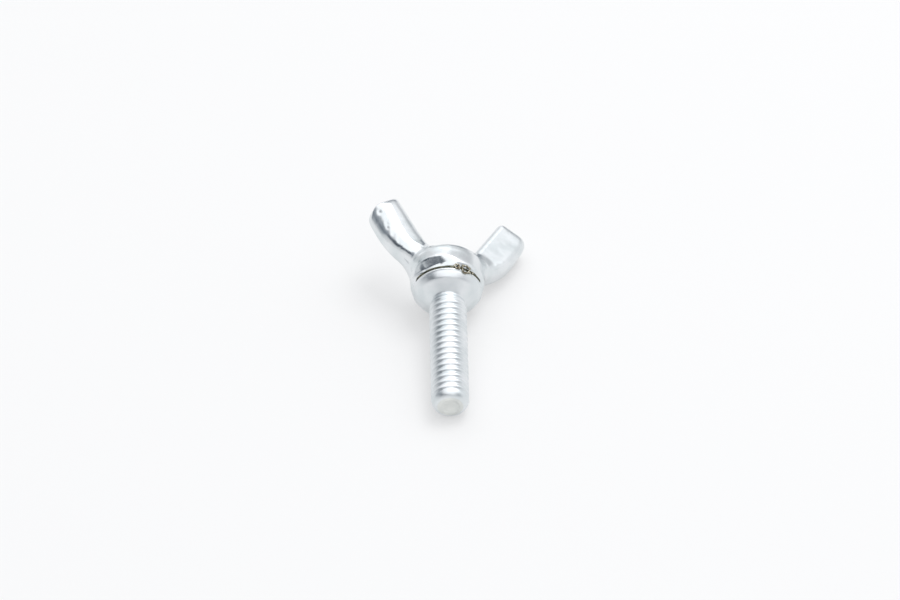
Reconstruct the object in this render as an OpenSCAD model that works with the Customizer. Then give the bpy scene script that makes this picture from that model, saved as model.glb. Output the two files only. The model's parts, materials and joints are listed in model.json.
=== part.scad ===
// Wing screw: a threaded screw with a collar, pressed into a forged wing head.
// It lies on a table as it comes to rest: on the hub, the end of the thread and one wing.
// Each piece is drawn upright about +Z, with the seam between them at height zero.

/* [Screw] */
// Thread size over its crests
thread_d = 6.35; // [5.5:0.05:7]
// Screw length from the lower edge of the collar's rim to the tip
screw_l = 24.6; // [15:0.1:40]
// Width across the end face
tip_d = 4.3; // [4:0.1:5.2]
// Length of the bevel at the tip
tip_l = 0.9; // [0.5:0.1:2]

/* [Collar] */
// Width across the collar at the seam, before its upper edge is rounded
collar_d = 11.9; // [10.5:0.1:12.4]
// Height of the collar's rounded rim
rim_h = 1.6; // [1.2:0.05:2]
// Radius of the rim's curve
rim_r = 2.8; // [2.4:0.1:3.4]
// Lean of the rim at the seam, in degrees
rim_lean = 10; // [4:1:16]
// Radius of the rounding along the rim's upper edge
rim_top_r = 0.3; // [0.1:0.1:0.5]
// Height of the cone under the rim
cone_h = 1.25; // [0.9:0.05:1.8]
// Width of the bevel where the cone meets the shank
neck_w = 0.4; // [0.2:0.05:0.6]

/* [Press fit] */
// Width of the screw's spigot inside the hub
spigot_d = 4; // [3:0.1:4.5]
// Length of the spigot
spigot_l = 3.4; // [2.5:0.1:4]
// Gap round the spigot and above it
spigot_gap = 0.03; // [0.01:0.01:0.1]

/* [Hub] */
// Width across the hub
hub_d = 12.5; // [11.5:0.1:13.5]
// Height of the hub above the seam
hub_h = 6; // [5:0.1:6.6]
// Radius of the hub's lower rounding
hub_low_r = 0.8; // [0.5:0.1:2]
// Height of the groove that is left round the seam
groove_h = 0.15; // [0.1:0.05:0.3]
// Width across the hub's foot, inside the groove
foot_d = 10.2; // [9:0.1:10.8]
// Radius of the hub's upper rounding
hub_top_r = 1.9; // [1.2:0.1:2.4]

/* [Wings] */
// Distance over the wing tips
wing_span = 29.8; // [26:0.2:32]
// Height of the wing tips above the seam
wing_h = 17.4; // [15:0.2:19]
// Lean of each wing from the screw's axis, in degrees
wing_lean = 30; // [26:0.5:36]
// Width of a wing
wing_w = 6.3; // [5:0.05:6.8]
// Thickness of a wing
wing_t = 4.7; // [3.8:0.1:5.2]
// Radius of the rounding along a wing's edges
wing_edge_r = 1.4; // [1:0.1:1.8]
// Slant of the end of the wing that stands high, in degrees
high_slant = 8; // [0:1:12]
// Radius of the outer corner at a wing's end
outer_corner_r = 1.8; // [1.2:0.1:2.6]
// Radius of the inner corner at a wing's end
inner_corner_r = 0.8; // [0.4:0.1:1.6]
// Distance from a wing's end to its widest place
belly_l = 5.8; // [4:0.1:7]
// Radius of the outer edge between the widest place and the end
belly_tip_r = 36; // [24:1:60]
// Radius of the outer edge between the widest place and the hub
belly_root_r = 12; // [9:0.5:16]
// Reach of the blend between the wings and the hub
blend_r = 2.5; // [1.6:0.1:3]

/* [Hidden] */
round_fn = 96;

// Rings of the wing head's skin: round the hub's fan, along a wing and round a ring
fan_n = 15;
along_n = 13;
ring_n = 20;
last = fan_n + along_n;
// Height of the fan's centre above the hub, in the open gap between the wings
fan_h = 3.6;
// The last ring lies this far inside a wing's end
end_gap = 0.02;
// The skin is found to this many halvings of the search length
halvings = 15;
search_l = 12;

// Collar profile: the rim is an arc, and the cone runs on from it
rim_mid = [collar_d / 2 - rim_r * cos(rim_lean), rim_r * sin(rim_lean)];
rim_end_lean = asin((rim_h + rim_mid.y) / rim_r);
rim_top = [rim_mid.x + sqrt(pow(rim_r - rim_top_r, 2) - pow(rim_mid.y + rim_top_r, 2)), -rim_top_r];
rim_start_z = rim_mid.y - (rim_mid.y + rim_top_r) * rim_r / (rim_r - rim_top_r);
rim_end = rim_mid + rim_r * [cos(rim_end_lean), -sin(rim_end_lean)];
neck_z = -rim_h - cone_h;
tip_z = -rim_h - screw_l;

// A wing's own axes: along it from the seam's centre, and across it, outwards
wing_mid = [
    wing_span / 2 - wing_w / 2 * cos(wing_lean),
    wing_h - wing_w / 2 * sin(wing_lean)
];
wing_end = wing_mid.x * sin(wing_lean) + wing_mid.y * cos(wing_lean);
wing_off = wing_mid.x * cos(wing_lean) - wing_mid.y * sin(wing_lean);

// The fan of rings turns about this point
pivot_z = hub_h + fan_h;
pivot_along = pivot_z * cos(wing_lean);
pivot_mid = wing_off + pivot_z * sin(wing_lean);

// Larger and smaller of two distances, with the corner between them rounded
function round_max(a, b, r) = max(a, b) + pow(max(r - abs(a - b), 0), 2) / (4 * r);
function round_min(a, b, r) = -round_max(-a, -b, r);

// Distance from a corner profile with a rounding: negative inside
function edge_gap(a, b, r) = norm([max(a + r, 0), max(b + r, 0)]) + min(max(a, b) + r, 0) - r;

// Distance from the hub, a round block with rounded rims
function hub_gap(p) =
    let (
        side = norm([p.x, p.y]) - hub_d / 2,
        low = groove_h - p.z,
        top = p.z - hub_h
    )
    low > top ? edge_gap(side, low, hub_low_r) : edge_gap(side, top, hub_top_r);

// Distance from a wing's outline: straight inside, swelling outside, cut off at the end
function outline_gap(along, across, slant) =
    let (
        from_belly = along - (wing_end - belly_l),
        belly_r = from_belly > 0 ? belly_tip_r : belly_root_r,
        outer = norm([from_belly, across - wing_w / 2 + belly_r]) - belly_r,
        inner = -wing_w / 2 - across,
        end = (along - wing_end) * cos(slant) - inner * sin(slant)
    )
    max(edge_gap(outer, end, outer_corner_r), edge_gap(inner, end, inner_corner_r));

// Distance from a wing, which is its outline with a thickness and rounded edges
function wing_gap(p) =
    let (
        along = abs(p.x) * sin(wing_lean) + p.z * cos(wing_lean),
        across = abs(p.x) * cos(wing_lean) - p.z * sin(wing_lean) - wing_off,
        slant = p.x < 0 ? high_slant : 0
    )
    edge_gap(outline_gap(along, across, slant), abs(p.y) - wing_t / 2, wing_edge_r);

// Distance from the whole head, with the wings flowing into the hub
function head_gap(p) = round_min(hub_gap(p), wing_gap(p), blend_r);

// Distance from a point to the skin, straight out along a direction
function reach(p, d, near, far, n) =
    n == 0
        ? (near + far) / 2
        : let (mid = (near + far) / 2)
            head_gap(p + mid * d) < 0 ? reach(p, d, mid, far, n - 1) : reach(p, d, near, mid, n - 1);

// Middle of a ring and its outward direction: a fan about the pivot, then rings that lean
// step by step into the slant of the wing's end
function ring_frame(i, slant) =
    i <= fan_n
        ? let (
            turn = (90 - wing_lean) * i / fan_n,
            d = [sin(turn), 0, -cos(turn)],
            share = i / fan_n
        )
        [[0, 0, pivot_z] + d * (pivot_z - hub_h / 2 + share * (pivot_mid - pivot_z + hub_h / 2)), d]
        : let (
            share = sin(90 * (i - fan_n) / along_n),
            mid_end = wing_end - end_gap - wing_w / 2 * tan(slant),
            along = pivot_along + (mid_end - pivot_along) * share,
            up = [sin(wing_lean), 0, cos(wing_lean)],
            out = [cos(wing_lean), 0, -sin(wing_lean)]
        )
        [up * along + out * wing_off, out * cos(slant * share) - up * sin(slant * share)];

// Half of the skin: one row of points for each ring, from its inner to its outer side
skin = [
    for (i = [-last:last])
        let (f = ring_frame(abs(i), i < 0 ? high_slant : 0), side = i < 0 ? -1 : 1)
        [
            for (k = [0:ring_n])
                let (
                    turn = 180 * k / ring_n,
                    out = -cos(turn) * f[1] + sin(turn) * [0, 1, 0],
                    mid = [side * f[0].x, f[0].y, f[0].z],
                    d = [side * out.x, out.y, out.z]
                )
                mid + d * reach(mid, d, 0, search_l, halvings)
        ]
];

// Rest pose: the height of the seam over the table when the end of the thread touches it
touch_z = tip_z + tip_l;
function seam_at(tilt) = thread_d / 2 * cos(tilt) - touch_z * sin(tilt);

// Rest pose: the roll at which the first point of the lower wing touches the table
function touch_roll(p, tilt) =
    let (level = (seam_at(tilt) + p.z * sin(tilt)) / cos(tilt), out = norm([p.x, p.y]))
    out > level ? asin(level / out) - atan2(p.y, p.x) : 90;
function roll_at(tilt) =
    min([for (i = [fan_n:last]) for (p = skin[last + i]) touch_roll(p, tilt)]);

// Rest pose: the tilt at which the first point of the hub touches the table
function tilt_at(roll) =
    max([
        for (i = [0:fan_n])
            for (p = skin[last + i])
                atan2(p.x * sin(roll) + p.y * cos(roll) - thread_d / 2, p.z - touch_z)
    ]);

// Rest pose: the tilt is set by the hub's edge, then by the roll that it gives, and again
edge_tilt = atan2((hub_d - thread_d) / 2, groove_h + hub_low_r - touch_z);
tilt = tilt_at(roll_at(tilt_at(roll_at(edge_tilt))));
roll = roll_at(tilt);
seam_h = seam_at(tilt);

// Rest pose: the middle of the width and of the length lies over the origin
function rest_x(p, side) = p.x * cos(roll) + side * p.y * sin(roll);
function rest_y(p) = p.z * cos(tilt) + (p.x * sin(roll) + p.y * cos(roll)) * sin(tilt);
low_x = max([for (row = skin) for (p = row) rest_x(p, 1)]);
high_x = min([for (row = skin) for (p = row) rest_x(p, -1)]);
head_y = max([for (row = skin) for (p = row) rest_y(p)]);
tip_y = tip_z * cos(tilt) - tip_d / 2 * sin(tilt);

module at_rest() {
    translate([-(low_x + high_x) / 2, -(head_y + tip_y) / 2, seam_h])
        rotate([tilt - 90, 0, 0])
            rotate([0, 0, roll])
                children();
}

module screw() {
    color("silver") at_rest() {
        shank();
        collar();
        translate([0, 0, -cone_h]) cylinder(h = cone_h + spigot_l, d = spigot_d, $fn = round_fn);
    }
}

module shank() {
    translate([0, 0, touch_z]) cylinder(h = neck_z - touch_z + cone_h, d = thread_d, $fn = round_fn);
    translate([0, 0, tip_z]) cylinder(h = tip_l, d1 = tip_d, d2 = thread_d, $fn = round_fn);
}

module collar() {
    rotate_extrude($fn = round_fn) {
        intersection() {
            translate([0, -rim_h]) square([collar_d / 2, rim_h]);
            translate(rim_mid) circle(r = rim_r, $fn = round_fn);
            union() {
                translate([0, -rim_h]) square([rim_top.x, rim_h]);
                translate([0, -rim_h]) square([collar_d / 2, rim_h + rim_start_z]);
                translate(rim_top) circle(r = rim_top_r, $fn = round_fn / 4);
            }
        }
        polygon([
            [0, 0],
            [rim_mid.x, 0],
            rim_end,
            [thread_d / 2 + neck_w, neck_z + neck_w / 2],
            [thread_d / 2, neck_z],
            [0, neck_z]
        ]);
    }
}

module wing_head() {
    color("silver") at_rest() difference() {
        union() {
            head_skin();
            cylinder(h = hub_h / 2, d = foot_d, $fn = round_fn);
        }
        translate([0, 0, -hub_h]) cylinder(h = hub_h, d = 2 * hub_d, $fn = round_fn);
        translate([0, 0, -hub_h])
            cylinder(h = hub_h + spigot_l + spigot_gap, d = spigot_d + 2 * spigot_gap, $fn = round_fn);
    }
}

// The skin as one closed solid: each row is mirrored to the other side and makes a ring
module head_skin() {
    around = 2 * ring_n;
    points = [
        for (row = skin)
            for (k = [0:around - 1])
                let (p = row[min(k, around - k)])
                [p.x, p.y * (k > ring_n ? -1 : 1), p.z]
    ];
    walls = [
        for (i = [0:2 * last - 1])
            for (k = [0:around - 1])
                let (a = i * around + k, b = i * around + (k + 1) % around)
                for (face = [[a, b, b + around], [a, b + around, a + around]])
                    face
    ];
    start_cap = [for (k = [around - 1:-1:0]) k];
    end_cap = [for (k = [0:around - 1]) 2 * last * around + k];
    polyhedron(points, concat(walls, [start_cap, end_cap]), convexity = 6);
}

screw();
wing_head();
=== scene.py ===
import math

import bpy
from mathutils import Euler, Matrix, Quaternion, Vector
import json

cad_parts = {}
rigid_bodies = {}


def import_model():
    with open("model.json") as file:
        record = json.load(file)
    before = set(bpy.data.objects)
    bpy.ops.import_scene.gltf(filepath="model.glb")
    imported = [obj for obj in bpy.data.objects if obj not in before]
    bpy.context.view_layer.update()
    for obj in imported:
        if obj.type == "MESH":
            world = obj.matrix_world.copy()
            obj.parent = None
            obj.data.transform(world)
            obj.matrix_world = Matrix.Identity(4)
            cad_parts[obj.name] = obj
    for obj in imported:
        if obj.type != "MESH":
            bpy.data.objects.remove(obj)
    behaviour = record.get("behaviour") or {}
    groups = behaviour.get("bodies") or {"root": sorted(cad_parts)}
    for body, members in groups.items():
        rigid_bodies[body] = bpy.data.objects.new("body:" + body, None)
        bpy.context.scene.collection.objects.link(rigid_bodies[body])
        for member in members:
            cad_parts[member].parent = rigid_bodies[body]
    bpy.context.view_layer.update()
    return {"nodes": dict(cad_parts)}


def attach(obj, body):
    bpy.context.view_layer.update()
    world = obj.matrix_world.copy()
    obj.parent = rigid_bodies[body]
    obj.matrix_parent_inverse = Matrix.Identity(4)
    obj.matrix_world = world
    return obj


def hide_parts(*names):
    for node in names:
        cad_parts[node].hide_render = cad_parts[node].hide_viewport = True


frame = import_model()
bpy.ops.object.select_all(action="DESELECT")
mm = 0.001


# The screw is one steel blank: its thread is rolled between dies, and the collar is upset in
# the same blow that forms the spigot above it. The thread is 1/4 inch wide with 20 turns to
# the inch, and it runs out into a plain neck of the blank's own width under the collar.

# sizes are in mm on the upright screw, with its axis on Z and its joint with the hub at 0
thread_r = 3.175
root_r = 2.87
pitch = 1.27
turns = 21
facets = 72
neck_r = 2.85
neck_z = -2.85
tip_z = -26.2
tip_r = 2.15
weld = 0.002

# at rest the axis is tilted up towards the head, and the wings are rolled to one side
tilt = 6.5914
roll = 25.4939
rest_place = (-0.1443, 4.3529, 6.0582)
rest = (
    Matrix.Translation(Vector(rest_place) * mm)
    @ Matrix.Rotation(math.radians(tilt - 90), 4, "X")
    @ Matrix.Rotation(math.radians(roll), 4, "Z")
)


def select_only(piece):
    bpy.ops.object.select_all(action="DESELECT")
    piece.select_set(True)
    bpy.context.view_layer.objects.active = piece


def apply_modifier(piece, kind, **settings):
    """Gives a piece one modifier with its settings, and makes its result the mesh."""
    select_only(piece)
    bpy.ops.object.modifier_add(type=kind)
    modifier = piece.modifiers[-1]
    for key, value in settings.items():
        setattr(modifier, key, value)
    bpy.ops.object.modifier_apply(modifier=modifier.name)


def draw_profile(name, points):
    """Draws a chain of edges in the XZ plane, one extrusion after another."""
    bpy.ops.object.select_all(action="DESELECT")
    bpy.ops.mesh.primitive_plane_add(size=mm)
    profile = bpy.context.object
    profile.name = name
    bpy.ops.object.mode_set(mode="EDIT")
    bpy.ops.mesh.merge(type="CENTER")
    bpy.ops.transform.translate(value=(points[0][0] * mm, 0, points[0][1] * mm))
    for start, end in zip(points, points[1:]):
        step = ((end[0] - start[0]) * mm, 0, (end[1] - start[1]) * mm)
        bpy.ops.mesh.extrude_region_move(TRANSFORM_OT_translate={"value": step})
    bpy.ops.object.mode_set(mode="OBJECT")
    return profile


def turn_on_lathe(piece, steps):
    """Spins a profile once round the Z axis and closes it into a solid."""
    select_only(piece)
    bpy.ops.object.mode_set(mode="EDIT")
    bpy.ops.mesh.select_all(action="SELECT")
    bpy.ops.mesh.spin(steps=steps, angle=2 * math.pi, center=(0, 0, 0), axis=(0, 0, 1))
    bpy.ops.mesh.select_all(action="SELECT")
    bpy.ops.mesh.remove_doubles(threshold=weld * mm)
    bpy.ops.mesh.normals_make_consistent(inside=False)
    bpy.ops.object.mode_set(mode="OBJECT")


def combine(piece, other, operation):
    """Unites a piece with another, or keeps only what they share, and uses the other up."""
    apply_modifier(piece, "BOOLEAN", operation=operation, solver="EXACT", object=other)
    bpy.data.objects.remove(other)


def lay_down(piece):
    """Moves a piece that was drawn upright to where it comes to rest on the table."""
    piece.matrix_world = rest
    select_only(piece)
    bpy.ops.object.transform_apply(location=True, rotation=True, scale=True)


def fade(value, start, end):
    """Goes from 0 at the start to 1 at the end, and stays there beyond them."""
    return min(max((value - start) / (end - start), 0), 1)


# one turn of the thread, as heights and shares of its depth: the blank didn't fill the dies,
# so it is shallow and well rounded
rises = [
    (0, 0.22),
    (0.06, 0.06),
    (0.14, 0),
    (0.22, 0.06),
    (0.3, 0.22),
    (0.4, 0.52),
    (0.48, 0.78),
    (0.55, 0.93),
    (0.64, 1),
    (0.93, 1),
    (1.02, 0.93),
    (1.09, 0.78),
    (1.17, 0.52),
    (pitch, 0.22),
]
screw = draw_profile(
    "rolled_screw", [(root_r + (thread_r - root_r) * rise, height) for height, rise in rises]
)
apply_modifier(
    screw, "SCREW", steps=facets, render_steps=facets, screw_offset=pitch * mm, iterations=turns
)

# it is wound from below the tip, and cut off just past the tip and inside the collar
wound_from = tip_z - 2.1
past_tip = tip_z - 0.2
in_collar = neck_z + 0.9
bpy.ops.object.mode_set(mode="EDIT")
bpy.ops.mesh.select_all(action="SELECT")
bpy.ops.mesh.remove_doubles(threshold=weld * mm)
bpy.ops.transform.translate(value=(0, 0, wound_from * mm))
for cut_z, outwards in ((past_tip, -1), (in_collar, 1)):
    bpy.ops.mesh.select_all(action="SELECT")
    bpy.ops.mesh.bisect(
        plane_co=(0, 0, cut_z * mm), plane_no=(0, 0, outwards), clear_outer=True, use_fill=True
    )
bpy.ops.mesh.select_all(action="SELECT")
bpy.ops.mesh.normals_make_consistent(inside=False)
bpy.ops.object.mode_set(mode="OBJECT")

# the thread fades out over a turn and a half
run_out_top = -2.8
run_out_end = -4.7
for vertex in screw.data.vertices:
    reach = math.hypot(vertex.co.x, vertex.co.y) / mm
    share = fade(vertex.co.z / mm, run_out_top, run_out_end)
    share = share * share * (3 - 2 * share)
    wanted = neck_r + (reach - neck_r) * share
    vertex.co.x *= wanted / reach
    vertex.co.y *= wanted / reach

# the end is sheared off with a shallow dimple, and a round shoulder cuts into the last turn
dimple = [(0, 0.12), (1.2, 0.1), (1.5, 0.04), (1.56, 0)]
shoulder_r = tip_r - 0.15
shoulder_w = 1.2
shoulder_h = 1.7
envelope_r = thread_r + 0.15
envelope_top = 3
envelope = [(across, tip_z + height) for across, height in dimple]
for lean in range(82, 0, -9):
    turn = math.radians(lean)
    envelope.append(
        (shoulder_r + shoulder_w * math.cos(turn), tip_z + shoulder_h * (1 - math.sin(turn)))
    )
envelope += [(envelope_r, tip_z + shoulder_h), (envelope_r, envelope_top), (0, envelope_top)]
blank = draw_profile("blank", envelope)
turn_on_lathe(blank, steps=96)
combine(screw, blank, "INTERSECT")

# the collar hangs from the spigot: a rounded rim, a cone under it and a fillet into the neck
spigot = [(0, 3.4), (1.9, 3.4), (2, 3.3), (2, 0)]
rim_top = (5.5657, -0.3)
rim_top_r = 0.3
rim_mid = (1.6, 1.2)
rim_r = 4.45
rim_from = 21
rim_to = 38
rim = []
for i in range(7):
    lean = math.radians(90 - (90 + rim_from) * i / 6)
    rim.append((rim_top[0] + rim_top_r * math.cos(lean), rim_top[1] + rim_top_r * math.sin(lean)))
for i in range(1, 11):
    lean = math.radians(rim_from + (rim_to - rim_from) * i / 10)
    rim.append((rim_mid[0] + rim_r * math.cos(lean), rim_mid[1] - rim_r * math.sin(lean)))

# the die left faint rings on the cone: share of the way down it, and height in mm
rings = [(0.05, 0), (0.16, 0.012), (0.3, -0.012), (0.46, 0.01), (0.62, -0.012), (0.8, 0.01)]
cone_top = (5.058, -1.6)
cone_down = (-1.952, -1.258)
cone_out = (0.54, -0.84)
cone = [
    tuple(top + down * share + out * high for top, down, out in zip(cone_top, cone_down, cone_out))
    for share, high in rings
]
fillet_r = 0.6
fillet_z = neck_z - 0.5
fillet_from = 35
fillet_to = 90
fillet = []
for i in range(7):
    turn = math.radians(fillet_from + (fillet_to - fillet_from) * i / 6)
    fillet.append((neck_r + fillet_r - fillet_r * math.sin(turn), fillet_z + fillet_r * math.cos(turn)))
foot_z = -3.6
foot = [(neck_r - 0.3, foot_z), (0, foot_z)]
collar = draw_profile("collar", spigot + rim + cone + fillet + foot)
turn_on_lathe(collar, steps=144)
combine(screw, collar, "UNION")
crease = math.radians(32)
select_only(screw)
bpy.ops.object.shade_smooth_by_angle(angle=crease)
lay_down(screw)


# Bright zinc: steel with a few thousandths of a millimetre of electroplated zinc. The bath
# levels it to a mirror with a cold blue cast, and the forged or rolled steel under it keeps
# the reflections slightly wavy and softly blurred.
def linear(hex_colour):
    """Turns an sRGB hex value into the linear colour that the shader wants."""
    parts = [int(hex_colour[i:i + 2], 16) / 255 for i in (1, 3, 5)]
    return [p / 12.92 if p <= 0.04045 else ((p + 0.055) / 1.055) ** 2.4 for p in parts] + [1]


def node(tree, kind, settings=None, links=None):
    """Adds a node, sets its properties or inputs, and links its inputs."""
    new = tree.nodes.new(kind)
    for key, value in (settings or {}).items():
        if isinstance(key, int) or key in new.inputs:
            new.inputs[key].default_value = value
        else:
            setattr(new, key, value)
    for key, source in (links or {}).items():
        tree.links.new(source, new.inputs[key])
    return new


def bright_zinc(name, wave_mm, wave_depth, roughness, dull="#d9dfe1", clear="#e8ebed"):
    """Zinc plate whose steel is wavy at one size, in mm, and to one depth."""
    # the crystals are finer than the picture can show, so their grain is drawn far coarser
    grain_mm = 0.22
    grain_depth = 0.0035
    # the plate turns clearer and hazier in slow clouds
    cloud_mm = 3.1
    hazier = 0.07
    material = bpy.data.materials.new(name)
    material.use_nodes = True
    tree = material.node_tree
    tree.nodes.clear()
    place = node(tree, "ShaderNodeTexCoord")
    patterns = []
    for size_mm, detail, fineness in ((wave_mm, 2.0, 0.45), (grain_mm, 4.0, 0.6), (cloud_mm, 3.0, 0.5)):
        pattern = node(
            tree,
            "ShaderNodeTexNoise",
            {"Scale": 1 / (size_mm * mm), "Detail": detail, "Roughness": fineness},
            {"Vector": place.outputs["Object"]},
        )
        patterns.append(pattern.outputs["Fac"])
    wave, grain, cloud = patterns
    wave_bump = node(
        tree, "ShaderNodeBump", {"Strength": 1.0, "Distance": wave_depth * mm}, {"Height": wave}
    )
    grain_bump = node(
        tree,
        "ShaderNodeBump",
        {"Strength": 1.0, "Distance": grain_depth * mm},
        {"Height": grain, "Normal": wave_bump.outputs["Normal"]},
    )
    tint = node(tree, "ShaderNodeValToRGB", {}, {"Fac": cloud})
    for stop, position, colour in zip(tint.color_ramp.elements, (0.34, 0.66), (dull, clear)):
        stop.position = position
        stop.color = linear(colour)
    haze = node(
        tree,
        "ShaderNodeMapRange",
        {"From Min": 0.3, "From Max": 0.7, "To Min": roughness, "To Max": roughness + hazier},
        {"Value": cloud},
    )
    zinc = node(
        tree,
        "ShaderNodeBsdfPrincipled",
        {"Metallic": 1.0},
        {
            "Base Color": tint.outputs["Color"],
            "Roughness": haze.outputs["Result"],
            "Normal": grain_bump.outputs["Normal"],
        },
    )
    node(tree, "ShaderNodeOutputMaterial", {}, {"Surface": zinc.outputs["BSDF"]})
    return material


# on the rolled thread it has a satin sheen, on the sheared end it is matt and less blue, and
# on the upset collar it is a little clearer, with slow waves
rolled_zinc = bright_zinc("bright_zinc_on_rolled_steel", wave_mm=1.7, wave_depth=0.02, roughness=0.31)
sheared_zinc = bright_zinc(
    "zinc_on_sheared_steel",
    wave_mm=0.6,
    wave_depth=0.04,
    roughness=0.42,
    dull="#d6d9d7",
    clear="#e9ebe8",
)
upset_zinc = bright_zinc("bright_zinc_on_upset_steel", wave_mm=2.2, wave_depth=0.03, roughness=0.29)
screw.data.materials.clear()
for zinc in (rolled_zinc, sheared_zinc, upset_zinc):
    screw.data.materials.append(zinc)


def upright(place):
    """Says where a place on a piece at rest is on the upright screw, in mm."""
    return rest.inverted() @ place / mm


sheared_below = tip_z + 0.14
upset_above = neck_z - 0.45
for face in screw.data.polygons:
    point = upright(face.center)
    if point.z < sheared_below and math.hypot(point.x, point.y) < tip_r:
        face.material_index = 1
    if point.z > upset_above:
        face.material_index = 2
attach(screw, "root")
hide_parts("screw")


# The wing head is one cold-forged piece: the hub and both wings flow into one another, and
# tumbling has rounded every edge. Its skin is a fine, smoothed copy of the solid's own.
skin_mm = 0.15
tumbling = 14
select_only(frame["nodes"]["wing_head"])
bpy.ops.object.duplicate()
head = bpy.context.object
head.name = "forged_wing_head"
bpy.ops.object.parent_clear(type="CLEAR_KEEP_TRANSFORM")
bpy.ops.object.transform_apply(location=True, rotation=True, scale=True)
bpy.ops.object.mode_set(mode="EDIT")
bpy.ops.mesh.select_all(action="SELECT")
bpy.ops.mesh.remove_doubles(threshold=weld * mm)
bpy.ops.object.mode_set(mode="OBJECT")
apply_modifier(head, "REMESH", mode="VOXEL", voxel_size=skin_mm * mm)
apply_modifier(head, "SMOOTH", factor=0.5, iterations=tumbling)

# the high wing's own directions: it leans 30 degrees out from the axis, and its middle line
# passes the origin at wing_line; it is widest some way up, and its belly is rounder below that
wing_out = 0.5
wing_up = 0.866
wing_line = 2.629
half_width = 3.15
half_thick = 2.3
widest_at = 13.99
belly_above_r = 36
belly_below_r = 12

# it came out of the die with crowned faces that fall away to its inner edge
crowned_from = 7
crowned_at = 12
crown = 0.075
crown_limit = 1.2
inner_fall = 0.05
inner_from = 1.1
face_y = 1.5

# the outer edge that faces up is worn rounder than the wing's half thickness, most at the end,
# and has nicks: places along and across the wing, width and depth in mm
worn_from = 6.5
worn_at = 9.5
rounder = 0.9
rounder_from = 10
rounder_at = 16
nick_length = 1.6
nicks = [
    (17.4, 2.45, 0.42, 0.16),
    (14.6, 2.45, 0.42, 0.12),
    (13.9, 2.75, 0.3, 0.1),
    (12.2, 2.45, 0.45, 0.1),
    (10.6, 2.2, 0.3, 0.07),
]
for vertex in head.data.vertices:
    point = upright(vertex.co)
    if point.x < 0:
        along = abs(point.x) * wing_out + point.z * wing_up
        across = abs(point.x) * wing_up - point.z * wing_out - wing_line
        share = fade(along, crowned_from, crowned_at) * min(abs(point.y) / face_y, 1)
        point.y *= 1 - crown * share * min(abs(across / half_width), crown_limit) ** 2
        point.y *= 1 - inner_fall * share * max(-across - inner_from, 0) ** 1.5
        belly_r = belly_above_r if along > widest_at else belly_below_r
        edge = half_width - belly_r + math.sqrt(max(belly_r ** 2 - (along - widest_at) ** 2, 0))
        worn_r = half_thick + rounder * fade(along, rounder_from, rounder_at)
        over = (across - edge + worn_r, worn_r - half_thick - point.y)
        away = math.hypot(*over) - worn_r
        if min(over) > 0 and away > 0:
            cut = away * fade(along, worn_from, worn_at)
            point.y += cut * over[1] / (away + worn_r)
            point.x += cut * over[0] / (away + worn_r) * wing_up
            point.z += cut * over[0] / (away + worn_r) * wing_out
        for nick_along, nick_across, width, depth in nicks:
            near = (along - nick_along) ** 2 / nick_length + (across - nick_across) ** 2
            if point.y < 0:
                point.y += depth * math.exp(-near / width ** 2)
        vertex.co = rest @ (point * mm)


def from_top(x, y):
    """Says how many degrees round the axis a place is from the side that lies uppermost."""
    return math.degrees(math.atan2(y, x)) + 90 + roll


# the hub's lower edge is squeezed out into a low lip, most of all below the high wing:
# degrees from the top, height, half its width in degrees, half its height and reach in mm
swellings = [
    (-5, 0.75, 60, 0.6, 0.27),
    (-30, 1.8, 26, 0.7, 0.38),
    (-2, 1.7, 20, 0.6, 0.26),
]
upper_half = 3.0
hub_from = 4.5
hub_to = 7.5
hub_top = 5

# and it is struck off steeply there, down to the seam: it fades in and out by degrees
struck_in = (-64, -36)
struck_out = (18, -8)
struck_r = 5.72
struck_slope = 0.95
struck_z = 0.85
struck_top = 2.4
for vertex in head.data.vertices:
    point = upright(vertex.co)
    out = math.hypot(point.x, point.y)
    if hub_from < out < hub_to and point.z < hub_top:
        turn = from_top(point.x, point.y)
        swell = 0
        for middle, height, wide, high, much in swellings:
            high *= upper_half if point.z > height else 1
            swell += much * math.exp(-(((turn - middle) / wide) ** 2) - ((point.z - height) / high) ** 2)
        struck = fade(turn, *struck_in) * fade(turn, *struck_out)
        over = out + swell - (struck_r + struck_slope * max(point.z - struck_z, 0))
        if point.z < struck_top and over > 0:
            swell -= over * struck
        point.x *= 1 + swell / out
        point.y *= 1 + swell / out
        vertex.co = rest @ (point * mm)
select_only(head)
bpy.ops.object.shade_smooth()

# tumbled smooth before it was plated, so it mirrors the tent more sharply than the screw does
forged_zinc = bright_zinc("bright_zinc_on_forged_steel", wave_mm=2.6, wave_depth=0.05, roughness=0.17)
head.data.materials.clear()
head.data.materials.append(forged_zinc)
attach(head, "root")
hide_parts("wing_head")


# The joint between hub and collar is a narrow crevice. Its shade is painted as a dark, brown and
# olive ring laid in it, and a torn bead of dried crust stands out of it beside the low wing.
seam_r = 5.8
seam_z = 0.08
shade_ring_r = 0.18
bpy.ops.object.select_all(action="DESELECT")
# the ring of painted shade: a dark torus lying in the crevice
bpy.ops.mesh.primitive_torus_add(
    major_radius=seam_r * mm, minor_radius=shade_ring_r * mm, major_segments=160, minor_segments=12
)
painted_shade_ring = bpy.context.object
painted_shade_ring.name = "painted_shade_in_the_seam"
bpy.ops.object.mode_set(mode="EDIT")
bpy.ops.transform.translate(value=(0, 0, seam_z * mm))
bpy.ops.object.mode_set(mode="OBJECT")

# the painted shade ring swells out of the crevice on the upper side only, and sinks back by degrees from
# its middle
shade_ring_middle = 7
sinks_from = 63
sunk_at = 71
sunk_share = 0.04
for vertex in painted_shade_ring.data.vertices:
    turn = (from_top(vertex.co.x, vertex.co.y) + 180) % 360 - 180
    sunk = sunk_share * fade(abs(turn - shade_ring_middle), sinks_from, sunk_at)
    vertex.co.x *= 1 - sunk
    vertex.co.y *= 1 - sunk

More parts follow.
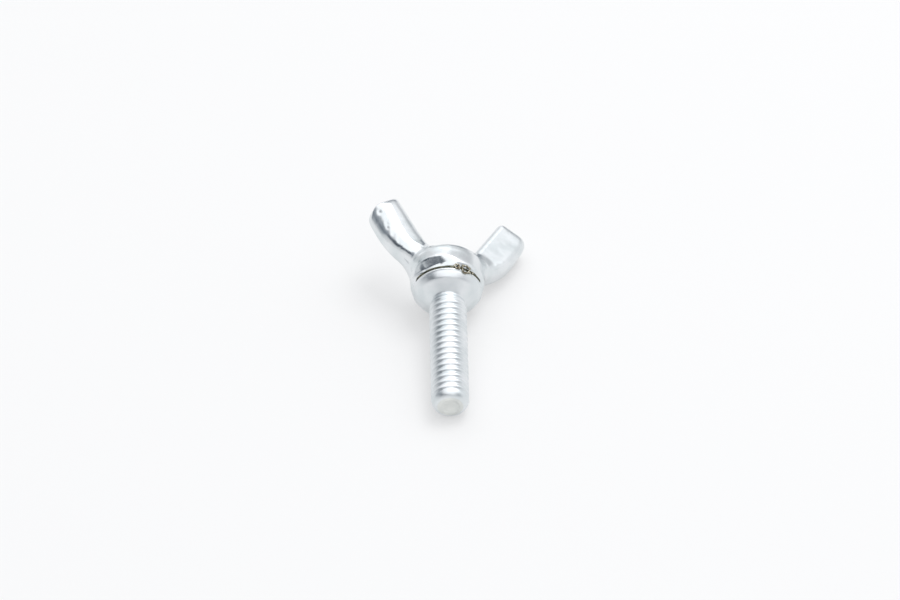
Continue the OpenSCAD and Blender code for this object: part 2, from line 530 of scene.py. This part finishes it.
# drops and open loops of the bead: degrees from the top, height, reach and size in mm
drops = [
    (15, 0.1, 6.0, 0.24),
    (23, -0.15, 6.05, 0.24),
    (29, 0.5, 6.15, 0.2),
    (41, 0.35, 6.2, 0.2),
    (42, -0.45, 6.0, 0.2),
    (48, -0.15, 6.0, 0.2),
]
loops = [(19, 0.1, 6.1, 0.34), (34, -0.12, 6.1, 0.64)]
loop_wire = 0.14
loop_twist = 0.1
loop_tip = math.radians(112)
bead_parts = []
for drop in drops + loops:
    turn, height, reach, size = drop
    side = math.radians(turn - 90 - roll)
    spot = (reach * math.cos(side) * mm, reach * math.sin(side) * mm, height * mm)
    if drop in loops:
        bpy.ops.mesh.primitive_torus_add(
            major_radius=size * mm,
            minor_radius=loop_wire * mm,
            major_segments=40,
            minor_segments=12,
            location=spot,
            rotation=(loop_twist, loop_tip, side),
        )
    else:
        bpy.ops.mesh.primitive_ico_sphere_add(subdivisions=3, radius=size * mm, location=spot)
    bead_parts.append(bpy.context.object)
for part in bead_parts:
    part.select_set(True)
bpy.ops.object.join()
bead = bpy.context.object
bead.name = "torn_bead"
bpy.ops.object.transform_apply(location=True, rotation=True, scale=True)
bead_skin_mm = 0.045
apply_modifier(bead, "REMESH", voxel_size=bead_skin_mm * mm)

# both are lumpy: the ring of painted shade, and the bead that dried
lump_mm = 0.35
shade_ring_lumps = 0.09
bead_lumps = 0.12
lumps = bpy.data.textures.new("lumps", "CLOUDS")
lumps.noise_scale = lump_mm * mm
for piece, depth in ((painted_shade_ring, shade_ring_lumps), (bead, bead_lumps)):
    apply_modifier(piece, "DISPLACE", texture=lumps, texture_coords="LOCAL", strength=depth * mm)
    bpy.ops.object.shade_smooth()
    lay_down(piece)


def shade_and_crust_zinc(name, colours, spot_mm):
    """Rough zinc spotted with three given colours: the dried crust of the bead, and the painted shade in
    the seam.
    """
    material = bpy.data.materials.new(name)
    material.use_nodes = True
    tree = material.node_tree
    tree.nodes.clear()
    place = node(tree, "ShaderNodeTexCoord")
    spots = node(
        tree,
        "ShaderNodeTexNoise",
        {"Scale": 1 / (spot_mm * mm), "Detail": 3.0, "Roughness": 0.6},
        {"Vector": place.outputs["Object"]},
    )
    stain = node(tree, "ShaderNodeValToRGB", {}, {"Fac": spots.outputs["Fac"]})
    stops = stain.color_ramp.elements
    stops.new(0.5)
    for stop, position, colour in zip(stops, (0.38, 0.5, 0.64), colours):
        stop.position = position
        stop.color = linear(colour)
    crusty = node(
        tree,
        "ShaderNodeBsdfPrincipled",
        {"Metallic": 1.0, "Roughness": 0.42},
        {"Base Color": stain.outputs["Color"]},
    )
    node(tree, "ShaderNodeOutputMaterial", {}, {"Surface": crusty.outputs["BSDF"]})
    return material


# deep in the seam the dark olive line is painted shade of the crevice, and the bead that stands out of
# it dried pale yellow
painted_seam_shade = shade_and_crust_zinc("painted_seam_shade", ("#41433c", "#5a5b50", "#86836c"), spot_mm=0.6)
yellowed_bead = shade_and_crust_zinc("yellowed_bead", ("#544732", "#a19c8a", "#d9d8d0"), spot_mm=0.45)
painted_shade_ring.data.materials.append(painted_seam_shade)
bead.data.materials.append(yellowed_bead)
for piece in (painted_shade_ring, bead):
    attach(piece, "root")


# The table is a plain sheet of matt white paper. The lamp and the tent light it, and it also
# glows a little to the camera and in the metal, so that it stays white without more light.
table_size = 4
paper_glow = 0.445
bpy.ops.object.select_all(action="DESELECT")
bpy.ops.mesh.primitive_plane_add(size=table_size, location=(0, 0, 0))
table = bpy.context.object
table.name = "table"
paper = bpy.data.materials.new("white_paper")
paper.use_nodes = True
tree = paper.node_tree
tree.nodes.clear()
sheet = node(tree, "ShaderNodeBsdfDiffuse", {"Color": linear("#acacac")})
ray = node(tree, "ShaderNodeLightPath")
seen = node(
    tree,
    "ShaderNodeMath",
    {"operation": "MAXIMUM"},
    {0: ray.outputs["Is Camera Ray"], 1: ray.outputs["Is Glossy Ray"]},
)
glow_level = node(
    tree, "ShaderNodeMath", {"operation": "MULTIPLY", 1: paper_glow}, {0: seen.outputs[0]}
)
glow = node(
    tree, "ShaderNodeEmission", {"Color": linear("#ffffff")}, {"Strength": glow_level.outputs[0]}
)
both = node(tree, "ShaderNodeAddShader", {}, {0: sheet.outputs[0], 1: glow.outputs[0]})
node(tree, "ShaderNodeOutputMaterial", {}, {"Surface": both.outputs[0]})
table.data.materials.append(paper)


# The studio is a pale tent that is bright overhead. Its sides are greyer, and the darker
# gaps between its sheets draw the grey and dark bands in the metal. The camera sees white.
side_level = 0.8
side_top = math.radians(26)
roof_level = 1.3
roof_from = math.radians(42)
world = bpy.data.worlds.new("tent")
bpy.context.scene.world = world
world.use_nodes = True
tree = world.node_tree
tree.nodes.clear()
place = node(tree, "ShaderNodeTexCoord")
axes = node(tree, "ShaderNodeSeparateXYZ", {}, {"Vector": place.outputs["Generated"]})
level = node(
    tree,
    "ShaderNodeMapRange",
    {
        "interpolation_type": "SMOOTHSTEP",
        "From Min": math.sin(side_top),
        "From Max": math.sin(roof_from),
        "To Min": side_level,
        "To Max": roof_level,
    },
    {"Value": axes.outputs["Z"]},
).outputs["Result"]

# gaps, and where the share is over 1 bright sheets: compass bearing from the back, height,
# inner and outer radius in degrees, and the share of the light that is left
gaps = [
    (-124, 33, 9, 19, 0.14),
    (-150, 36, 5, 14, 0.15),
    (-169, 36, 4, 12, 0.3),
    (172, 34, 3, 8, 0.7),
    (-92, 40, 8, 25, 0.36),
    (-86, 17, 4, 14, 0.65),
    (-52, 14, 4, 16, 0.9),
    (126, 28, 6, 24, 0.6),
    (95, 8, 4, 26, 1.1),
    (13, 2, 8, 21, 0.42),
    (42, 15, 4, 14, 0.8),
    (70, 20, 10, 36, 1.2),
    (-4, 31, 8, 22, 1.55),
]
for bearing, height, inner, outer, share in gaps:
    east, up = math.radians(bearing), math.radians(height)
    axis = (math.sin(east) * math.cos(up), math.cos(east) * math.cos(up), math.sin(up))
    near = node(
        tree,
        "ShaderNodeVectorMath",
        {"operation": "DOT_PRODUCT", 1: axis},
        {0: place.outputs["Generated"]},
    )
    dimmed = node(
        tree,
        "ShaderNodeMapRange",
        {
            "interpolation_type": "SMOOTHSTEP",
            "From Min": math.cos(math.radians(outer)),
            "From Max": math.cos(math.radians(inner)),
            "To Min": 1.0,
            "To Max": share,
        },
        {"Value": near.outputs["Value"]},
    )
    level = node(
        tree, "ShaderNodeMath", {"operation": "MULTIPLY"}, {0: level, 1: dimmed.outputs["Result"]}
    ).outputs[0]

# the gaps are bluer than the sheets
tone = node(tree, "ShaderNodeValToRGB", {}, {"Fac": level})
for stop, position, colour in zip(tone.color_ramp.elements, (0.1, 0.75), ("#adc0d6", "#fcfdff")):
    stop.position = position
    stop.color = linear(colour)
backdrop_level = 0.97
ray = node(tree, "ShaderNodeLightPath")
sky = node(tree, "ShaderNodeBackground", {}, {"Color": tone.outputs["Color"], "Strength": level})
white = node(tree, "ShaderNodeBackground", {"Color": linear("#ffffff"), "Strength": backdrop_level})
shown = node(
    tree,
    "ShaderNodeMixShader",
    {},
    {"Fac": ray.outputs["Is Camera Ray"], 1: sky.outputs[0], 2: white.outputs[0]},
)
node(tree, "ShaderNodeOutputWorld", {}, {"Surface": shown.outputs[0]})

# one square lamp hangs high over the screw, a little behind it and to its right
lamp_place = Vector((0.25, 0.2, 0.7))
bpy.ops.object.light_add(type="AREA", location=lamp_place)
lamp = bpy.context.object
lamp.name = "soft_overhead_lamp"
lamp.data.shape = "SQUARE"
lamp.data.size = 0.4
lamp.data.energy = 1.8
lamp.rotation_euler = lamp_place.to_track_quat("Z", "Y").to_euler()


# The camera looks down at the screw from the tip's side, from a metre away through a long
# lens, and is turned a little in its own plane.
elevation = math.radians(40.71)
azimuth = math.radians(-2.58)
twist = math.radians(4.95)
aside = -0.158 * mm
above = 5.803 * mm
distance = 1
turned = Euler((math.pi / 2 - elevation, 0, -azimuth)).to_quaternion()
turned = turned @ Quaternion((0, 0, 1), -twist)
bpy.ops.object.camera_add(location=turned @ Vector((aside, above, distance)))
camera = bpy.context.object
camera.name = "camera"
camera.rotation_euler = turned.to_euler()
camera.data.lens = 237.3
camera.data.sensor_width = 36
camera.data.clip_start = 0.01
bpy.context.scene.camera = camera
bpy.context.scene.view_settings.view_transform = "Standard"
